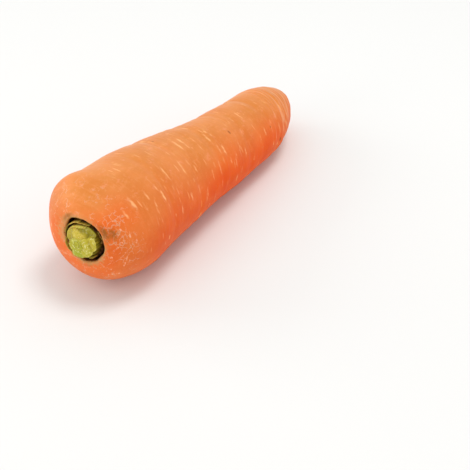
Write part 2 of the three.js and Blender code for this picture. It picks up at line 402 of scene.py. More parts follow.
# Small and broad dents: height, size and pattern offset
DENTS = ((0.16, 8.5, (0.0, 0.0, 0.0)), (0.22, 19.0, (3.0, 1.0, 7.0)))


def skin_relief(s, radius, angle, place):
    """Small relief along the normal, in millimetres."""
    fade = smoothstep(radius, 12.5, 17.0) if s < ROOT_LENGTH / 2 else smoothstep(radius, 2.0, 6.0)
    shown, middle = lenticel_at(s, radius, angle)
    corky = LENTICEL_RISE * shown - LENTICEL_SLIT * middle
    corky -= SPECK_DEPTH * speck_at(s, radius, angle)
    rings = sum(
        height * noise.noise(Vector((s / length, place.y / width + offset, place.z / width)))
        for height, length, width, offset in GROWTH_RINGS)
    dents = sum(height * noise.noise(place / size + Vector(offset))
                for height, size, offset in DENTS)
    wrinkles = WRINKLE_HEIGHT * tip_wrinkle(s, radius, angle, place)
    return fade * (corky + rings + wrinkles) + (0.35 + 0.65 * fade) * dents


def lip_reach(s, radius, angle, inside):
    """How far the hollow's lip and wall, or the crown round it, are moved outwards."""
    ragged = sum(
        stray * noise.noise(Vector((rate * math.cos(angle), rate * math.sin(angle), offset)))
        for stray, rate, offset in LIP_RAGGED)
    if inside:
        depth = 1.0 - 0.65 * smoothstep(s - LIP_STATION, 1.0, 5.0)
        return (round_values(LIP_REACH, angle) + ragged) * depth * radius / RIM_RADIUS
    near = 1.0 - smoothstep(radius, RIM_RADIUS + RIM_ROUND, LIP_REACH_END)
    return round_values(LIP_REACH, angle) * near + ragged * bell(radius - RIM_RADIUS, 2.0)


def lip_rise(radius, angle, place):
    """How far the corky lip stands out of the crown."""
    near = bell(radius - RIM_RADIUS - 0.6 * RIM_ROUND, LIP_SPREAD)
    slow = noise.noise(Vector((1.8 * math.cos(angle), 1.8 * math.sin(angle), 0.0)))
    return near * (LIP_SWELL * slow + LIP_ROUGHNESS * noise.noise(place / 1.1))


def frame_shift():
    """From this script's millimetres to the frame: the plain root's box is centred on the packed
    root's box, and it is lowered until it rests on its flattened spot."""
    stations = [0.2 + i for i in range(int(ROOT_LENGTH))]
    angles = [math.radians(3.0 * i) for i in range(120)]
    ys = [skin_point(s, root_radius(s), angle).y for s in stations for angle in angles]
    lip = min(skin_point(LIP_STATION, RIM_RADIUS + RIM_ROUND, angle).x for angle in angles)
    tail = skin_point(ROOT_LENGTH - tail_pit(0.0), 0.0, 0.0).x
    low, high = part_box("taproot")
    x = (low.x + high.x) / (2 * MM) - 0.5 * (lip + tail)
    y = (low.y + high.y) / (2 * MM) - 0.5 * (min(ys) + max(ys))
    return Vector((x, y, -REST_DROP))


SHIFT = frame_shift()


def finish_mesh(bm, name):
    """Sets a mesh worked out in millimetres in the frame, in metres."""
    bmesh.ops.translate(bm, verts=bm.verts, vec=SHIFT)
    bmesh.ops.scale(bm, verts=bm.verts, vec=(MM, MM, MM))
    bmesh.ops.recalc_face_normals(bm, faces=bm.faces)
    mesh = bpy.data.meshes.new(name)
    bm.to_mesh(mesh)
    bm.free()
    mesh.shade_smooth()
    piece = bpy.data.objects.new(name, mesh)
    bpy.context.scene.collection.objects.link(piece)
    return piece


def turn_section(bm, section, steps):
    """Spins a half section, listed as station and radius, round +X."""
    points = [bm.verts.new((station, radius, 0.0)) for station, radius in section]
    edges = [bm.edges.new(pair) for pair in zip(points, points[1:])]
    bmesh.ops.spin(bm, geom=points + edges, cent=(0, 0, 0), axis=(1, 0, 0), angle=2.0 * math.pi,
                   steps=steps, use_merge=True)
    bmesh.ops.remove_doubles(bm, verts=bm.verts, dist=1e-4)


# Crown: its own directions, across the hollow and out of it
_, CROWN_ALONG, CROWN_ACROSS, CROWN_ABOVE = axis_frame(0.0)
CROWN_CENTRE = axis_point(0.0) + HOLLOW_SIDE * CROWN_ACROSS + HOLLOW_LIFT * CROWN_ABOVE


def crown_place(radius, angle, height):
    """A place by its distance from the hollow's middle line, its angle and its height."""
    sideways = radius * math.cos(angle) * CROWN_ACROSS + radius * math.sin(angle) * CROWN_ABOVE
    return CROWN_CENTRE + sideways - height * CROWN_ALONG


# How far the cork spreads from the lip, every 30 degrees
CORK_SPREAD = (2.6, 2.8, 2.0, 1.2, 1.3, 1.6, 1.4, 1.3, 1.7, 1.5, 0.9, 1.2)
# Brown stains, where it has bruised: radius, angle in degrees, spread, spread round the crown in
# radians, and strength
STAINS = ((13.0, 144, 2.2, 0.34, 1.0), (16.2, 150, 2.6, 0.2, 0.85), (12.0, 54, 1.5, 0.3, 0.75),
          (11.6, 262, 1.2, 0.3, 0.4))


def stain_at(radius, angle):
    shown = 0.0
    for middle, at, spread, round_spread, strength in STAINS:
        turn = (angle - math.radians(at) + math.pi) % (2.0 * math.pi) - math.pi
        shown = max(shown, strength * bell(radius - middle, spread) * bell(turn, round_spread))
    return shown


# The skin is painted a deeper orange round the flanks and underneath, as painted shade, most of all
# halfway along, and its skin is redder by the hollow. The change from the paler top to the shaded
# flanks wanders by this much, over this many millimetres
FLANK_WANDER = 0.16
FLANK_WANDER_SIZE = 24.0
REDDENED_ANGLE = math.radians(133.0)
REDDENED_SPREAD = 0.4
REDDENED_BESIDE = 0.42
REDDENED_ROUND = 0.16
# Where the crown's skin is cracked the most: distance from the middle, angle, and their spreads
SCARRED_RADIUS = 16.0
SCARRED_RADIUS_SPREAD = 6.0
SCARRED_ANGLE = math.radians(160.0)
SCARRED_SPREAD = 0.65
# Where the painted shade on the hollow's wall is lighter, leaving a redder brown
RED_WALL_ANGLE = 3.0
# How far the tail scar's brown spreads
TAIL_SPREAD = 2.2


def flank_shade_and_redness(s, angle, place):
    """How much painted shade deepens the skin's orange: 0 on top, 1 underneath, with the redder
    skin by the hollow added.
    """
    facing = FLANK_WANDER * noise.noise(place / FLANK_WANDER_SIZE) + math.sin(angle)
    deepness = 0.45 + 0.38 * smoothstep(s, 4.0, 30.0) + 0.17 * smoothstep(s, 40.0, 90.0)
    deepness -= 0.3 * smoothstep(s, 120.0, 158.0)
    # Painted shade: flanks and underside are coloured a deeper orange, standing in for shade and
    # orange bounce light there
    flank = deepness * smoothstep(-facing, -1.08, 0.08)
    reddened = REDDENED_BESIDE * bell(angle - REDDENED_ANGLE, REDDENED_SPREAD)
    reddened *= 1.0 - smoothstep(s, 8.0, 22.0)
    reddened += REDDENED_ROUND * (1.0 - smoothstep(s, 2.0, 7.0))
    return min(1.0, flank + reddened)


SKIN_MARKS = ("lenticel", "slit", "scuff", "speck", "crest", "crown", "scarred", "lip", "hollow",
              "stain", "tail", "flank")


def marks_at(s, radius, angle, place, inside):
    """What colours the skin at a place: a value for each of its marks that applies there."""
    # Painted shade on the flanks and underneath, together with the redder skin by the hollow
    marks = {"flank": flank_shade_and_redness(s, angle, place)}
    if inside:
        # Painted shade: the hollow's wall is coloured darker further down, less so towards the red
        # wall angle
        wall_shade = 0.55 + 0.45 * smoothstep(abs(angle - RED_WALL_ANGLE), 0.4, 1.1)
        marks["hollow"] = smoothstep(s - LIP_STATION, 0.1, 3.4) * wall_shade
    else:
        marks["lenticel"], marks["slit"] = lenticel_at(s, radius, angle)
        marks["speck"] = speck_at(s, radius, angle)
    if s < ROOT_LENGTH / 2:
        beyond = max(0.0, radius - RIM_RADIUS)
        marks["lip"] = math.exp(-beyond / round_values(CORK_SPREAD, angle))
        marks["stain"] = stain_at(radius, angle)
        marks["crown"] = 1.0 - smoothstep(s, 5.0, 24.0)
        marks["scarred"] = bell(radius - SCARRED_RADIUS, SCARRED_RADIUS_SPREAD)
        marks["scarred"] *= bell(angle - SCARRED_ANGLE, SCARRED_SPREAD)
        # Pale scuffs: partly lifted skin, partly painted highlight
        marks["scuff"] = scuff_glint_at(place) if s < 16.0 and not inside else 0.0
    else:
        marks["tail"] = bell(radius, TAIL_SPREAD)
        # Painted highlight on the crests of the tip's wrinkles
        marks["crest"] = max(0.0, tip_wrinkle(s, radius, angle, place))
    return marks


def make_taproot():
    bm = bmesh.new()
    turn_section(bm, root_section(), SKIN_STEPS)
    layers = {name: bm.verts.layers.float.new(name) for name in SKIN_MARKS}
    smooth = []
    for vert in bm.verts:
        s, radius = vert.co.x, math.hypot(vert.co.y, vert.co.z)
        angle = math.atan2(vert.co.z, vert.co.y) % (2.0 * math.pi)
        smooth.append((s, radius, angle))
        vert.co = skin_point(s, radius, angle)
    bm.normal_update()
    moves = []
    for vert, (s, radius, angle) in zip(bm.verts, smooth):
        crown = s < ROOT_LENGTH / 2
        inside = crown and radius < RIM_RADIUS + 0.01 and s > LIP_STATION
        if inside:
            move = WALL_ROUGHNESS * noise.noise(vert.co / WALL_GRAIN) * vert.normal
        else:
            move = skin_relief(s, radius, angle, vert.co) * vert.normal
        if crown and radius < LIP_REACH_END:
            _, _, across, above = axis_frame(s)
            outwards = math.cos(angle) * across + math.sin(angle) * above
            move += lip_reach(s, radius, angle, inside) * outwards
            move -= lip_rise(radius, angle, vert.co) * CROWN_ALONG
        moves.append(move)
        for name, value in marks_at(s, radius, angle, vert.co, inside).items():
            vert[layers[name]] = value
    for vert, move in zip(bm.verts, moves):
        vert.co += move
        vert.co.z = max(vert.co.z, REST_DROP)
    return finish_mesh(bm, "taproot_skin")


# Cut leaf stalks, packed round the growing point: angle in degrees, offset from the middle, half
# width outwards, half width round the middle, height of the cut, and tint, from 0 for green to 1
# for straw
Stalk = namedtuple("Stalk", "angle offset half_out half_round height tint")
STALKS = (
    Stalk(343, 1.5, 2.5, 2.6, 2.25, 0.35), Stalk(74, 4.9, 2.6, 3.0, 1.7, 0.95),
    Stalk(172, 2.9, 1.9, 2.3, 2.0, 0.6), Stalk(164, 6.1, 1.5, 3.4, 0.9, 0.7),
    Stalk(232, 4.9, 1.9, 3.0, 1.8, 0.55), Stalk(284, 5.5, 2.0, 3.6, 2.15, 0.15),
    Stalk(112, 6.7, 1.5, 4.2, -0.6, 0.45), Stalk(14, 7.2, 2.0, 4.8, -0.8, 0.8),
    Stalk(330, 5.8, 1.5, 2.6, 1.2, 0.4),
)
# Nearer the middle than this they are round, and further out they bend round it
INNER_OFFSET = 3.2
STUB_OUTLINE = (8.3, 8.4, 8.1, 8.3, 8.3, 8.2, 7.7, 6.9, 6.7, 7.1, 7.7, 6.8)
STUB_BASE = -7.65
STUB_FOOT_RADIUS = 8.4
FACE_RINGS = 64
EDGE_RINGS = 6
STUB_WALL_RINGS = 44
STUB_STEPS = 220
FACE_EDGE = 0.4
CLEFT_DEPTH = 0.26
CLEFT_WIDTH = 0.07
# Each cut slopes its own way and is a little domed
CUT_SLOPE = 0.07
CUT_DOME = 0.25
# The stalks' outlines wander, and their flesh has a grain in two sizes
WANDER = 0.45
WANDER_SIZE = 1.9
GRAIN_SIZES = (0.8, 0.35)
GRAIN_HEIGHT = 0.07
RING_DEPTH = 0.06
STRING_HEIGHT = 0.05
# The bunch's wall is ribbed, and nicked where the clefts reach it
RIB_COUNT = 26.0
RIB_HEIGHT = 0.10
NICK_DEPTH = 0.45
NICK_WIDTH = 0.25
STALK_MARKS = ("tint", "ring", "cleft", "string", "wall", "sunk")


def stalk_distance(stalk, radius, angle):
    """How far out in a stalk's cut a place lies: 0 at its middle, 1 at its skin."""
    turn = (angle - math.radians(stalk.angle) + math.pi) % (2.0 * math.pi) - math.pi
    if stalk.offset < INNER_OFFSET:
        out = radius * math.cos(turn) - stalk.offset
        return math.hypot(out / stalk.half_out, radius * math.sin(turn) / stalk.half_round)
    out = radius - stalk.offset
    return math.hypot(out / stalk.half_out, stalk.offset * turn / stalk.half_round)


def cut_face(radius, angle):
    """Height of the cut stalks at a place, with the stalk's tint, rings, clefts, and strings with
    one painted highlight streak.
    """
    x, y = radius * math.cos(angle), radius * math.sin(angle)
    warped_x = x + WANDER * noise.noise(Vector((x / WANDER_SIZE, y / WANDER_SIZE, 4.0)))
    warped_y = y + WANDER * noise.noise(Vector((x / WANDER_SIZE, y / WANDER_SIZE, 14.0)))
    warped = math.hypot(warped_x, warped_y), math.atan2(warped_y, warped_x)
    ranked = sorted((stalk_distance(stalk, *warped), stalk) for stalk in STALKS)
    (near, stalk), (next_near, next_stalk) = ranked[0], ranked[1]
    gap = next_near - near
    share = 0.5 * (1.0 - smoothstep(gap, 0.0, 0.3))
    tilt = math.radians(stalk.angle * 2.7 + 40.0)
    height = stalk.height * (1.0 - share) + next_stalk.height * share
    height += CUT_SLOPE * (x * math.cos(tilt) + y * math.sin(tilt))
    height += CUT_DOME * (1.0 - near**2)
    patchy = 0.3 + 0.7 * smoothstep(noise.noise(Vector((x / 2.2, y / 2.2, 2.0))), -0.3, 0.25)
    cleft = bell(gap, CLEFT_WIDTH) * patchy
    coarse, fine = GRAIN_SIZES
    grain = noise.noise(Vector((x / coarse, y / coarse, 3.0)))
    grain += 0.6 * noise.noise(Vector((x / fine, y / fine, 9.0)))
    youngest = stalk is STALKS[0]
    ringed = 1.0 if youngest else 0.25
    ring = ringed * bell(near - 0.6, 0.1) + 0.6 * ringed * bell(near, 0.22)
    turn = 14.0 * (x * math.cos(tilt + 1.5) + y * math.sin(tilt + 1.5)) / 3.0
    turn = angle * 9.0 if youngest else turn
    string = bell(near - 0.72, 0.07) * max(0.0, math.cos(turn)) ** 2
    # Painted highlight: a pale streak across one stalk's cut, as if its face caught the light
    string = max(string, bell(x + 3.1, 0.3) * bell(y - 0.3, 1.2))
    relief = GRAIN_HEIGHT * grain - RING_DEPTH * ring + STRING_HEIGHT * string
    height += relief - CLEFT_DEPTH * cleft
    tint = stalk.tint * (1.0 - share) + next_stalk.tint * share
    return height, tint, ring, cleft, string, gap


def make_stalk_cuts():
    """The bunch of stalks, cut off across: a face of many stalks on a ribbed wall."""
    rings = [(0.0, i / FACE_RINGS) for i in range(FACE_RINGS + 1)]
    rings += [(-i / EDGE_RINGS, 1.0) for i in range(1, EDGE_RINGS + 1)]
    rings += [(-1.0 - i / STUB_WALL_RINGS, 1.0) for i in range(1, STUB_WALL_RINGS + 1)]
    rings += [(-3.0, 0.5), (-3.0, 0.0)]
    bm = bmesh.new()
    turn_section(bm, rings, STUB_STEPS)
    layers = {name: bm.verts.layers.float.new(name) for name in STALK_MARKS}
    for vert in bm.verts:
        part, t = vert.co.x, math.hypot(vert.co.y, vert.co.z)
        angle = math.atan2(vert.co.z, vert.co.y)
        if part < -2.5:
            vert.co = crown_place(STUB_FOOT_RADIUS * t, angle, STUB_BASE)
            vert[layers["wall"]] = vert[layers["sunk"]] = 1.0
            continue
        outline = round_values(STUB_OUTLINE, angle)
        outline -= NICK_DEPTH * bell(cut_face(outline, angle)[5], NICK_WIDTH)
        inner = outline - FACE_EDGE
        radius = inner * t
        height, tint, ring, cleft, string, _ = cut_face(radius, angle)
        wall = 0.0
        if part < 0.0:
            turn = 0.5 * math.pi * min(-part, 1.0)
            radius = inner + FACE_EDGE * math.sin(turn)
            height -= FACE_EDGE * (1.0 - math.cos(turn))
            wall = -0.5 * part
        if part < -1.0:
            down = -part - 1.0
            height += (STUB_BASE - height) * down
            waver = 2.0 * noise.noise(Vector((angle * 2.0, height / 3.0, 0.0)))
            ribs = RIB_HEIGHT * math.cos(RIB_COUNT * angle + waver) * smoothstep(down, 0.0, 0.15)
            radius += (STUB_FOOT_RADIUS - outline) * smoothstep(down, 0.1, 0.7) + ribs
            rough = 0.16 * noise.noise(crown_place(radius, angle, height) / 1.6)
            radius += rough * smoothstep(down, 0.0, 0.1)
            wall = 1.0
        vert.co = crown_place(radius, angle, height)
        # Painted shade: the wall darkens below the cut, and the lower cuts are darkened too
        if part < 0.0:
            sunk = smoothstep(-height, -0.5, 4.0)
        else:
            sunk = 0.4 * smoothstep(-height, -0.6, 0.9)
        for name, value in zip(layers, (tint, ring, cleft, string, wall, sunk)):
            vert[layers[name]] = value
    return finish_mesh(bm, "leaf_stalk_cuts")


# Thin skins of outer stalks, peeled away from the bunch: radius, first and last angle in degrees,
# height at the first, middle and last angle, how far they curl inwards, and thickness
PEELED_SKINS = (
    (9.5, 8, 82, (-1.5, 0.2, -0.5), 0.1, 0.24), (8.9, 62, 110, (-1.3, -0.1, -1.2), -0.2, 0.22),
    (8.2, 42, 104, (0.1, 1.8, 0.7), 0.25, 0.3), (8.8, 132, 166, (-2.6, -1.8, -2.6), -0.3, 0.2),
    (8.9, 300, 356, (-1.4, 0.2, -0.9), -0.2, 0.26), (8.2, 226, 262, (-2.2, -1.0, -2.2), -0.2, 0.22),
)
PEELED_FOOT = -5.0
PEELED_GRID = (54, 20)
TORN_DEPTH = 4.0


def thicken(bm, verts, thickness):
    """Gives a thin skin its thickness, on the side away from the crown's middle line."""
    faces = list({face for vert in verts for face in vert.link_faces})
    made = bmesh.ops.extrude_face_region(bm, geom=faces, use_keep_orig=True)["geom"]
    outer = [item for item in made if isinstance(item, bmesh.types.BMVert)]
    for vert in outer:
        across = vert.co - CROWN_CENTRE
        across -= across.dot(CROWN_ALONG) * CROWN_ALONG
        vert.co += thickness * across.normalized()


def make_peeled_skins():
    bm = bmesh.new()
    layer = bm.verts.layers.float.new("edge")
    columns, rows = PEELED_GRID
    for number, (radius, first, last, tops, curl, thickness) in enumerate(PEELED_SKINS):
        start, peak, end = tops
        made = bmesh.ops.create_grid(bm, x_segments=columns, y_segments=rows, size=0.5)["verts"]
        for vert in made:
            u, v = vert.co.x + 0.5, vert.co.y + 0.5
            angle = math.radians(first + (last - first) * u)
            top = start * (1 - u) * (1 - 2 * u) + 4 * peak * u * (1 - u) + end * u * (2 * u - 1)
            top += 0.4 * noise.noise(Vector((9.0 * u, number * 3.0, 0.0)))
            top += 0.14 * noise.noise(Vector((26.0 * u, number * 3.0, 5.0)))
            height = PEELED_FOOT + (top - PEELED_FOOT) * v
            wave = 0.22 * noise.noise(Vector((6.0 * u, 2.5 * v, number * 2.0)))
            vert.co = crown_place(radius - curl * v**4 + wave, angle, height)
            vert[layer] = 1.0 - min(1.0, (1.0 - v) * (top - PEELED_FOOT) / TORN_DEPTH)
        thicken(bm, made, thickness)
    return finish_mesh(bm, "peeled_stalk_skins")


# Withered leaf bases: dried scales that line the hollow. Between two angles, in degrees, they are
# narrow and of even height
SCALE_SEED = 23
SCALE_GRID = (14, 16)
SCALE_THICKNESS = 0.16
NARROW_ANGLES = (165, 215)
COLLAR_RADIUS = 9.25
COLLAR_OUTSIDE = 9.55
SCALE_COUNT = 19
SCALE_LOW = -2.9
SCALE_RISE = 2.3
SCALE_FOOT = -6.6


def make_withered_scales():
    draw = random.Random(SCALE_SEED)
    bm = bmesh.new()
    layer = bm.verts.layers.float.new("edge")
    shade = bm.verts.layers.float.new("shade")
    columns, rows = SCALE_GRID
    for k in range(SCALE_COUNT):
        middle = 2.0 * math.pi * (k + draw.uniform(-0.25, 0.25)) / SCALE_COUNT
        width = draw.uniform(0.22, 0.34)
        radius = COLLAR_RADIUS + draw.uniform(-0.25, 0.2)
        lean = draw.uniform(-0.35, 0.5)
        tone = draw.random()
        top = SCALE_LOW + SCALE_RISE * draw.random() ** 1.4
        if NARROW_ANGLES[0] < math.degrees(middle) < NARROW_ANGLES[1]:
            top, width, tone = -1.6 + 1.0 * tone, 0.5 * width, 0.45 + 0.5 * tone
        made = bmesh.ops.create_grid(bm, x_segments=columns, y_segments=rows, size=0.5)["verts"]
        for vert in made:
            u, v = 2.0 * vert.co.x, vert.co.y + 0.5
            taper = (1.0 - 0.6 * v**2.2) * (1.0 + 0.2 * noise.noise(Vector((5.0 * v, k * 4.0, u))))
            sway = 0.06 * v * noise.noise(Vector((3.0 * v, k * 2.0, 7.0)))
            angle = middle + width * u * taper + sway
            height = SCALE_FOOT + (top - SCALE_FOOT) * v * (1.0 - 0.1 * abs(u))
            out = radius - lean * v**3 + 0.18 * noise.noise(Vector((3.0 * u, 4.0 * v, k * 5.0)))
            out = min(out, COLLAR_OUTSIDE + 0.35 * smoothstep(height, -4.0, 0.0))
            vert.co = crown_place(out, angle, height)
            vert[layer] = v
            vert[shade] = tone
        thicken(bm, made, SCALE_THICKNESS)
    return finish_mesh(bm, "withered_scales")


def hex_colour(text):
    """sRGB hex to linear RGBA."""
    channels = (int(text[i:i + 2], 16) / 255 for i in (1, 3, 5))
    linear = (c / 12.92 if c <= 0.04045 else ((c + 0.055) / 1.055) ** 2.4 for c in channels)
    return (*linear, 1.0)


def add_node(tree, kind, settings, inputs):
    """Adds a node with its settings. An input gets a value, a hex colour or a node's output."""
    node = tree.nodes.new(kind)
    for key, value in settings.items():
        setattr(node, key, value)
    for key, value in inputs.items():
        if isinstance(value, bpy.types.NodeSocket):
            tree.links.new(value, node.inputs[key])
        else:
            node.inputs[key].default_value = hex_colour(value) if isinstance(value, str) else value
    return node


def per_metre(millimetres):
    """Texture scale that gives a pattern this real size."""
    return 1.0 / (millimetres * MM)


def new_material(name):
    material = bpy.data.materials.new(name)
    material.use_nodes = True
    material.node_tree.nodes.clear()
    return material


COLOUR_MIX = {"data_type": "RGBA"}
SOFT_EDGE = {"interpolation_type": "SMOOTHSTEP"}
MULTIPLY = {"operation": "MULTIPLY"}
MULTIPLY_ADD = {"operation": "MULTIPLY_ADD"}


def lay_over(tree, colour, layers):
    """Lays colours over one another. Each layer has what shows it, the values at which it starts
    and is full, how strong it gets, and its colour."""
    for shown, low, high, most, tone in layers:
        share = add_node(tree, "ShaderNodeMapRange", SOFT_EDGE,
                         {0: shown, 1: low, 2: high, 4: most}).outputs[0]
        colour = add_node(tree, "ShaderNodeMix", COLOUR_MIX,
                          {0: share, 6: colour, 7: tone}).outputs[2]
    return colour


def carrot_skin():
    """Washed carrot periderm: thin, slightly waxy and translucent, so it has a broad soft sheen; it
    is painted paler on top and a deeper orange where it turns from the light, as painted light and
    shade, and is freckled with pale corky lenticels."""
    material = new_material("washed_carrot_skin")
    tree = material.node_tree
    coords = add_node(tree, "ShaderNodeTexCoord", {}, {}).outputs["Object"]
    marks = {
        name: add_node(tree, "ShaderNodeAttribute", {"attribute_name": name}, {}).outputs["Fac"]
        for name in SKIN_MARKS}
    # Grain sizes in millimetres: broad patches, mottling, pale patches that are partly a dry bloom
    # and partly painted highlight, frayed cork and fine grain.
    # Growth rings are 1.6 mm apart along the root and run round it
    around = add_node(tree, "ShaderNodeMapping", {},
                      {"Vector": coords, "Scale": (1.0, 0.12, 0.12)}).outputs[0]
    patches, mottle, bloom_and_sheen, fray, grain, rings = (
        add_node(tree, "ShaderNodeTexNoise", {}, {
            "Vector": space, "Scale": per_metre(size), "Detail": detail, "Roughness": rough,
        }).outputs["Fac"]
        for space, size, detail, rough in (
            (coords, 17.0, 3.0, 0.6), (coords, 2.2, 4.0, 0.7), (coords, 5.0, 5.0, 0.75),
            (coords, 1.4, 5.0, 0.7), (coords, 0.5, 4.0, 0.6), (around, 1.6, 3.0, 0.5))
    )
    # Each tone is painted paler on top, as painted light, and a deeper orange round the flanks and
    # underneath, as painted shade
    base, patch_tone, mottle_tone, bloom_and_sheen_tone, ring_tone, fleck_tone = (
        add_node(tree, "ShaderNodeMix", COLOUR_MIX,
                 {0: marks["flank"], 6: top, 7: flank}).outputs[2]
        for top, flank in (
            ("#D6813C", "#E54C03"), ("#DE8B4A", "#EC5805"), ("#E79D62", "#EC630A"),
            ("#F1AA86", "#EE660E"), ("#EE9E66", "#EE6A10"), ("#F5B67C", "#F28E42"))
    )
    # Faint lenticels, about 0.6 mm by 4 mm, drawn a little wide so that they show
    drawn_out = add_node(tree, "ShaderNodeMapping", {},
                         {"Vector": coords, "Scale": (1.0, 0.2, 0.2)}).outputs[0]
    flecks = add_node(tree, "ShaderNodeTexVoronoi", {},
                      {"Vector": drawn_out, "Scale": per_metre(2.4)})
    picked = add_node(tree, "ShaderNodeSeparateColor", {}, {0: flecks.outputs["Color"]}).outputs[0]
    chosen = add_node(tree, "ShaderNodeMapRange", SOFT_EDGE, {0: picked, 1: 0.5, 2: 1.0}).outputs[0]
    near = add_node(tree, "ShaderNodeMapRange", SOFT_EDGE,
                    {0: flecks.outputs["Distance"], 1: 0.26, 2: 0.1}).outputs[0]
    fleck = add_node(tree, "ShaderNodeMath", MULTIPLY, {0: near, 1: chosen}).outputs[0]
    # The skin near the crown is finely cracked, in cells of about 3 mm that are open in patches
    pushed = add_node(tree, "ShaderNodeTexNoise", {},
                      {"Vector": coords, "Scale": per_metre(3.0), "Detail": 3.0})
    crooked = add_node(tree, "ShaderNodeVectorMath", MULTIPLY_ADD,
                       {0: pushed.outputs["Color"], 1: (0.004, 0.004, 0.004), 2: coords}).outputs[0]
    cells = add_node(tree, "ShaderNodeTexVoronoi", {"feature": "DISTANCE_TO_EDGE"},
                     {"Vector": crooked, "Scale": per_metre(3.4)}).outputs["Distance"]
    openness = add_node(tree, "ShaderNodeMath", MULTIPLY_ADD,
                        {0: marks["scarred"], 1: 0.13, 2: bloom_and_sheen}).outputs[0]
    opened = add_node(tree, "ShaderNodeMapRange", SOFT_EDGE,
                      {0: openness, 1: 0.48, 2: 0.62}).outputs[0]
    opened = add_node(tree, "ShaderNodeMath", MULTIPLY, {0: opened, 1: marks["crown"]}).outputs[0]
    crack_lines = (
        add_node(tree, "ShaderNodeMapRange", SOFT_EDGE, {0: cells, 1: width, 2: 0.0}).outputs[0]
        for width in (0.022, 0.075))
    crack, crack_edge = (
        add_node(tree, "ShaderNodeMath", MULTIPLY, {0: line, 1: opened}).outputs[0]
        for line in crack_lines)
    # Cork at the hollow's lip and in the tail scar, dried to straw and brown, with a frayed edge
    ragged = add_node(tree, "ShaderNodeMapRange", SOFT_EDGE,
                      {0: fray, 1: 0.3, 2: 0.7, 3: -0.3, 4: 0.3}).outputs[0]
    cork, tail_scar = (
        add_node(tree, "ShaderNodeMath", {"operation": "ADD"},
                 {0: marks[name], 1: ragged}).outputs[0]
        for name in ("lip", "tail"))
    blotchy = add_node(tree, "ShaderNodeMapRange", SOFT_EDGE,
                       {0: fray, 1: 0.35, 2: 0.6, 3: 0.55, 4: 1.0}).outputs[0]
    stain = add_node(tree, "ShaderNodeMath", MULTIPLY,
                     {0: marks["stain"], 1: blotchy}).outputs[0]
    colour = lay_over(tree, base, (
        (patches, 0.35, 0.68, 1.0, patch_tone), (mottle, 0.48, 0.72, 0.4, mottle_tone),
        # The pale pinkish patches are partly a dry bloom and partly a painted highlight on small
        # bumps
        (bloom_and_sheen, 0.56, 0.72, 0.4, bloom_and_sheen_tone), (rings, 0.55, 0.75, 0.22, ring_tone),
        # Painted highlight: the wrinkles' crests are coloured pale, as if they caught the light
        (fleck, 0.0, 1.0, 0.6, fleck_tone), (marks["crest"], 0.25, 1.0, 0.5, "#F2B083"),
        (marks["lenticel"], 0.0, 0.9, 0.9, "#F9BD80"), (marks["slit"], 0.5, 1.0, 0.3, "#D07A3C"),
        (crack_edge, 0.0, 1.0, 0.62, "#F6C29E"), (crack, 0.1, 0.9, 0.75, "#9C5A30"),
        # The pale scuff layer is partly lifted skin and partly painted highlight
        (marks["scuff"], 0.05, 0.8, 0.8, "#F3BF97"), (marks["speck"], 0.2, 0.9, 0.85, "#9A4A1C"),
        (cork, 0.12, 0.75, 0.9, "#CC935A"), (stain, 0.0, 0.9, 0.85, "#8F561E"),
        # The hollow layers are painted shade: brown below the lip, near black deeper in
        (cork, 0.95, 1.25, 0.9, "#7A4E22"), (marks["hollow"], 0.0, 0.3, 1.0, "#8A4C22"),
        (marks["hollow"], 0.2, 0.8, 1.0, "#2E150A"), (tail_scar, 0.32, 0.75, 0.85, "#A8703A"),
        (tail_scar, 0.75, 1.1, 0.9, "#5E3A1C"),
    ))
    # Fine grain and open cracks, a relief of up to 0.1 mm
    height = add_node(tree, "ShaderNodeMath", MULTIPLY_ADD,
                      {0: crack_edge, 1: -0.6, 2: grain}).outputs[0]
    bump = add_node(tree, "ShaderNodeBump", {},
                    {"Height": height, "Strength": 0.25, "Distance": 0.1 * MM})
    gloss = add_node(tree, "ShaderNodeMapRange", SOFT_EDGE,
                     {0: mottle, 1: 0.3, 2: 0.75, 3: 0.36, 4: 0.46}).outputs[0]
    gloss = add_node(tree, "ShaderNodeMath", MULTIPLY_ADD,
                     {0: marks["flank"], 1: 0.2, 2: gloss}).outputs[0]
    shader = add_node(tree, "ShaderNodeBsdfPrincipled", {}, {
        "Base Color": colour, "Roughness": gloss, "Normal": bump.outputs[0], "IOR": 1.4,
        "Specular IOR Level": 0.32, "Specular Tint": "#FFD9B0", "Subsurface Weight": 0.3,
        "Subsurface Scale": 0.0025, "Subsurface Radius": (1.0, 0.3, 0.1)})
    add_node(tree, "ShaderNodeOutputMaterial", {}, {0: shader.outputs[0]})
    return material


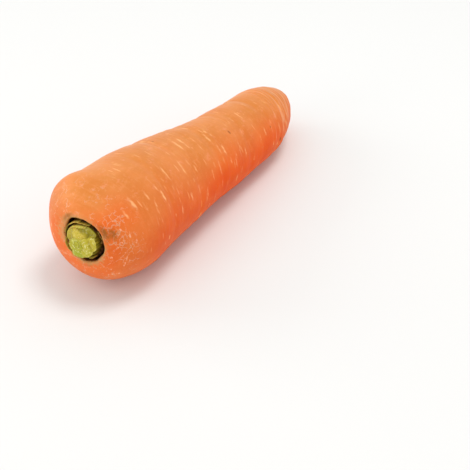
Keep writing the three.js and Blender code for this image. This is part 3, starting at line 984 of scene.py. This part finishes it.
def cut_stalk():
    """Freshly cut leaf stalk: watery green flesh, moist and a little translucent, ringed and dotted
    by its strings and by one painted highlight streak, with a duller olive skin; painted shade
    turns it dark brown deep in the hollow and on the lower cuts."""
    material = new_material("cut_leaf_stalk")
    tree = material.node_tree
    coords = add_node(tree, "ShaderNodeTexCoord", {}, {}).outputs["Object"]
    marks = {
        name: add_node(tree, "ShaderNodeAttribute", {"attribute_name": name}, {}).outputs["Fac"]
        for name in STALK_MARKS}
    # Watery patches in the flesh are about 1.3 mm across, and the skin's strings 0.6 mm apart
    along = add_node(tree, "ShaderNodeMapping", {},
                     {"Vector": coords, "Scale": (0.12, 1.0, 1.0)}).outputs[0]
    pith, streaks = (
        add_node(tree, "ShaderNodeTexNoise", {}, {
            "Vector": space, "Scale": per_metre(size), "Detail": detail, "Roughness": rough,
        }).outputs["Fac"]
        for space, size, detail, rough in ((coords, 1.3, 4.0, 0.65), (along, 0.6, 2.0, 0.5))
    )
    ribbed = add_node(tree, "ShaderNodeMapRange", SOFT_EDGE,
                      {0: streaks, 1: 0.35, 2: 0.7}).outputs[0]
    skin = add_node(tree, "ShaderNodeMix", COLOUR_MIX,
                    {0: ribbed, 6: "#6E6408", 7: "#A0922A"}).outputs[2]
    flesh = add_node(tree, "ShaderNodeMix", COLOUR_MIX,
                     {0: marks["tint"], 6: "#9AA21A", 7: "#CAB23C"}).outputs[2]
    colour = lay_over(tree, flesh, (
        (pith, 0.5, 0.72, 0.6, "#E9E294"), (pith, 0.45, 0.28, 0.6, "#988A04"),
        # The pale string layer also carries one painted highlight streak
        (marks["ring"], 0.1, 0.9, 0.75, "#8F880C"), (marks["string"], 0.2, 0.8, 0.55, "#EEE9B8"),
        (marks["cleft"], 0.2, 0.9, 0.6, "#7C6C18"), (marks["wall"], 0.3, 1.0, 1.0, skin),
        # Painted shade on the wall deep in the hollow and on the lower cuts
        (marks["sunk"], 0.0, 1.0, 0.92, "#5E3410"),
    ))
    bump = add_node(tree, "ShaderNodeBump", {},
                    {"Height": pith, "Strength": 0.4, "Distance": 0.1 * MM})
    shader = add_node(tree, "ShaderNodeBsdfPrincipled", {}, {
        "Base Color": colour, "Roughness": 0.42, "Normal": bump.outputs[0], "IOR": 1.38,
        "Specular IOR Level": 0.35, "Subsurface Weight": 0.25, "Subsurface Scale": 0.0012,
        "Subsurface Radius": (0.8, 1.0, 0.3)})
    add_node(tree, "ShaderNodeOutputMaterial", {}, {0: shader.outputs[0]})
    return material


def peeled_skin():
    """Thin skin of an outer stalk, half dried: yellow and papery at its torn edge, streaked by its
    strings, brown below."""
    material = new_material("half_dried_stalk_skin")
    tree = material.node_tree
    coords = add_node(tree, "ShaderNodeTexCoord", {}, {}).outputs["Object"]
    edge = add_node(tree, "ShaderNodeAttribute", {"attribute_name": "edge"}, {}).outputs["Fac"]
    # Dry patches are about 1.8 mm across, and the strings 0.5 mm apart
    along = add_node(tree, "ShaderNodeMapping", {},
                     {"Vector": coords, "Scale": (0.15, 1.0, 1.0)}).outputs[0]
    patch, streaks = (
        add_node(tree, "ShaderNodeTexNoise", {},
                 {"Vector": space, "Scale": per_metre(size), "Detail": detail}).outputs["Fac"]
        for space, size, detail in ((coords, 1.8, 4.0), (along, 0.5, 3.0))
    )
    dried = add_node(tree, "ShaderNodeMapRange", SOFT_EDGE, {0: patch, 1: 0.4, 2: 0.6}).outputs[0]
    torn = add_node(tree, "ShaderNodeMix", COLOUR_MIX,
                    {0: dried, 6: "#CDA83C", 7: "#BDB848"}).outputs[2]
    colour = lay_over(tree, "#6E4A10", (
        (edge, 0.35, 0.8, 1.0, torn), (streaks, 0.52, 0.68, 0.65, "#8A661C"),
        (streaks, 0.45, 0.3, 0.5, "#E4D27C"), (patch, 0.58, 0.72, 0.6, "#7E5A1A"),
        (edge, 0.93, 1.0, 0.55, "#9C7426"),
    ))
    bump = add_node(tree, "ShaderNodeBump", {},
                    {"Height": streaks, "Strength": 0.5, "Distance": 0.1 * MM})
    shader = add_node(tree, "ShaderNodeBsdfPrincipled", {}, {
        "Base Color": colour, "Roughness": 0.55, "Normal": bump.outputs[0], "IOR": 1.4,
        "Subsurface Weight": 0.2, "Subsurface Scale": 0.0006})
    add_node(tree, "ShaderNodeOutputMaterial", {}, {0: shader.outputs[0]})
    return material


def withered_leaf():
    """Withered leaf base: dried to dull dark brown, bleached to straw at a few tips."""
    material = new_material("withered_leaf_base")
    tree = material.node_tree
    coords = add_node(tree, "ShaderNodeTexCoord", {}, {}).outputs["Object"]
    edge, shade = (
        add_node(tree, "ShaderNodeAttribute", {"attribute_name": name}, {}).outputs["Fac"]
        for name in ("edge", "shade"))
    # Veins are 0.7 mm apart and run along the leaf base
    along = add_node(tree, "ShaderNodeMapping", {},
                     {"Vector": coords, "Scale": (0.15, 1.0, 1.0)}).outputs[0]
    veins = add_node(tree, "ShaderNodeTexNoise", {},
                     {"Vector": along, "Scale": per_metre(0.7), "Detail": 3.0}).outputs["Fac"]
    bleached = add_node(tree, "ShaderNodeMapRange", SOFT_EDGE,
                        {0: shade, 1: 0.6, 2: 0.9}).outputs[0]
    tip = add_node(tree, "ShaderNodeMath", MULTIPLY, {0: edge, 1: bleached}).outputs[0]
    colour = lay_over(tree, "#24120A", (
        (veins, 0.35, 0.7, 1.0, "#6A3816"), (tip, 0.6, 1.0, 0.8, "#B08C44")))
    bump = add_node(tree, "ShaderNodeBump", {},
                    {"Height": veins, "Strength": 0.5, "Distance": 0.1 * MM})
    shader = add_node(tree, "ShaderNodeBsdfPrincipled", {}, {
        "Base Color": colour, "Roughness": 0.75, "Normal": bump.outputs[0], "IOR": 1.45})
    add_node(tree, "ShaderNodeOutputMaterial", {}, {0: shader.outputs[0]})
    return material


# How far the floor reaches on each side, in metres
FLOOR_REACH = 3.0


def make_stage():
    bm = bmesh.new()
    bmesh.ops.create_grid(bm, x_segments=1, y_segments=1, size=FLOOR_REACH)
    mesh = bpy.data.meshes.new("floor")
    bm.to_mesh(mesh)
    bm.free()
    floor = bpy.data.objects.new("floor", mesh)
    bpy.context.scene.collection.objects.link(floor)
    material = new_material("matte_white_board")
    tree = material.node_tree
    shader = add_node(tree, "ShaderNodeBsdfPrincipled", {},
                      {"Base Color": "#E8E8E6", "Roughness": 0.8})
    add_node(tree, "ShaderNodeOutputMaterial", {}, {0: shader.outputs[0]})
    mesh.materials.append(material)


# Camera: azimuth, elevation and distance from the point that it looks at
CAMERA_AZIMUTH = math.radians(-59.7)
CAMERA_ELEVATION = math.radians(37.2)
CAMERA_DISTANCE = 518.2
CAMERA_AIM = Vector((-6.4, -30.6, -7.2))
CAMERA_LENS = 80.0


def make_camera():
    flat = math.cos(CAMERA_ELEVATION)
    back = Vector((math.sin(CAMERA_AZIMUTH) * flat, -math.cos(CAMERA_AZIMUTH) * flat,
                   math.sin(CAMERA_ELEVATION)))
    camera = bpy.data.objects.new("camera", bpy.data.cameras.new("camera"))
    camera.data.lens = CAMERA_LENS
    camera.location = (CAMERA_AIM + CAMERA_DISTANCE * back) * MM
    camera.rotation_mode = "QUATERNION"
    camera.rotation_quaternion = (-back).to_track_quat("-Z", "Y")
    camera.data.clip_start = 0.01
    bpy.context.scene.collection.objects.link(camera)
    bpy.context.scene.camera = camera


# Square softboxes: place, the point that it faces and side, in metres, and power in watts
SOFTBOXES = {
    "overhead_softbox": ((0.14, -0.2, 0.96), (0.0, 0.0, 0.0), 0.34, 3.25),
    "left_softbox": ((-0.25, 0.95, 0.32), (-0.05, 0.0, 0.03), 0.7, 2.85),
    "crown_softbox": ((-0.95, 0.25, 0.18), (-0.05, 0.0, 0.03), 0.6, 2.1),
}
ROOM_BRIGHTNESS = 0.83


def make_lights():
    for name, (place, aim, side, power) in SOFTBOXES.items():
        light = bpy.data.objects.new(name, bpy.data.lights.new(name, "AREA"))
        light.data.size = side
        light.data.energy = power
        light.location = place
        light.rotation_mode = "QUATERNION"
        light.rotation_quaternion = (Vector(aim) - Vector(place)).to_track_quat("-Z", "Y")
        bpy.context.scene.collection.objects.link(light)
    world = bpy.data.worlds.new("studio_white")
    world.use_nodes = True
    background = world.node_tree.nodes["Background"]
    background.inputs["Color"].default_value = hex_colour("#FFFFFF")
    background.inputs["Strength"].default_value = ROOM_BRIGHTNESS
    bpy.context.scene.world = world
    bpy.context.scene.view_settings.view_transform = "Standard"


make_camera()
make_stage()
make_lights()

taproot = make_taproot()
taproot.data.materials.append(carrot_skin())
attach(taproot, "root")
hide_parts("taproot")
for piece, node, material, slot in (
    (make_stalk_cuts(), "leaf_stalk_stub", cut_stalk(), "leaf_stalk"),
    (make_peeled_skins(), None, peeled_skin(), "leaf_stalk"),
    (make_withered_scales(), "withered_leaf_bases", withered_leaf(), "withered_leaf"),
):
    piece.data.materials.append(material)
    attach(piece, "root")
    if node:
        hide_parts(node)
